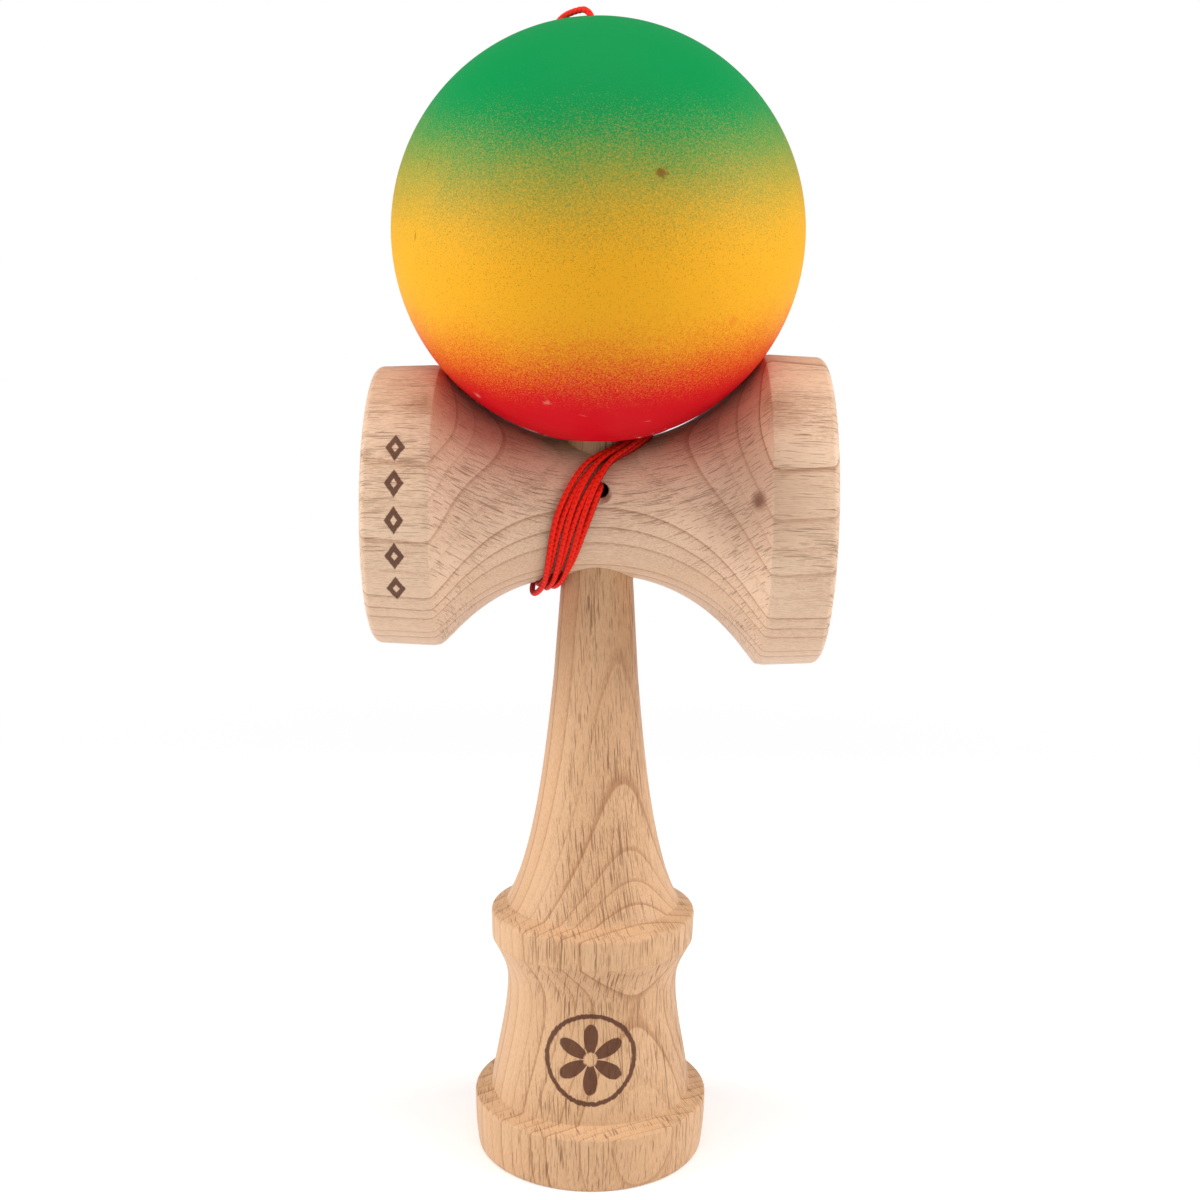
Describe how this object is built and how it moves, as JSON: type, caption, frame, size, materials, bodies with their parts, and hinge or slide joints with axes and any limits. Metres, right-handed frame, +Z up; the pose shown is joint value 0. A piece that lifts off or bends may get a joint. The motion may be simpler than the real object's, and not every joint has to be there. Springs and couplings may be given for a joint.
{
  "type": "kendama",
  "caption": "Wooden skill toy: turned handle with spike and base cup, cross-piece with a cup at each end, and a drilled painted ball on the spike, tied on with a wound string.",
  "frame": {"origin": "centre of the flat ring under the base, on the handle's axis", "axes": "+Z up the handle to the spike, +X along the cross-piece towards the big cup, -Y to the front, where the string leaves its hole"},
  "size_m": [0.0666, 0.0609, 0.1725],
  "materials": {
    "ken_wood": "smooth oiled beech, grain along Z",
    "sarado_wood": "smooth oiled beech, grain along X",
    "tama_paint": "satin paint over wood, fading from green at the top through yellow and orange to red at the foot",
    "string": "braided",
    "bead_wood": "plain"
  },
  "bodies": {
    "handle": {"ken": "ken_wood", "sarado": "sarado_wood", "string_anchor": "string", "ken_knot": "string", "string_wrap": "string", "string_riser": "string"},
    "bead": {"string_bead": "bead_wood", "tama_knot": "string", "string_in_tama": "string"},
    "tama": {"tama": "tama_paint"}
  },
  "joints": [
    {"name": "tama_lift", "type": "slide", "parent": "handle", "child": "bead", "axis": [0, 0, 1], "range_m": [0, 0.045], "deforming": ["string_riser"]},
    {"name": "tama_spin", "type": "hinge", "parent": "bead", "child": "tama", "pos_m": [-0.0005, -0.00538, 0.14185], "axis": [-0.0341, -0.2164, 0.9757], "continuous": true}
  ]
}
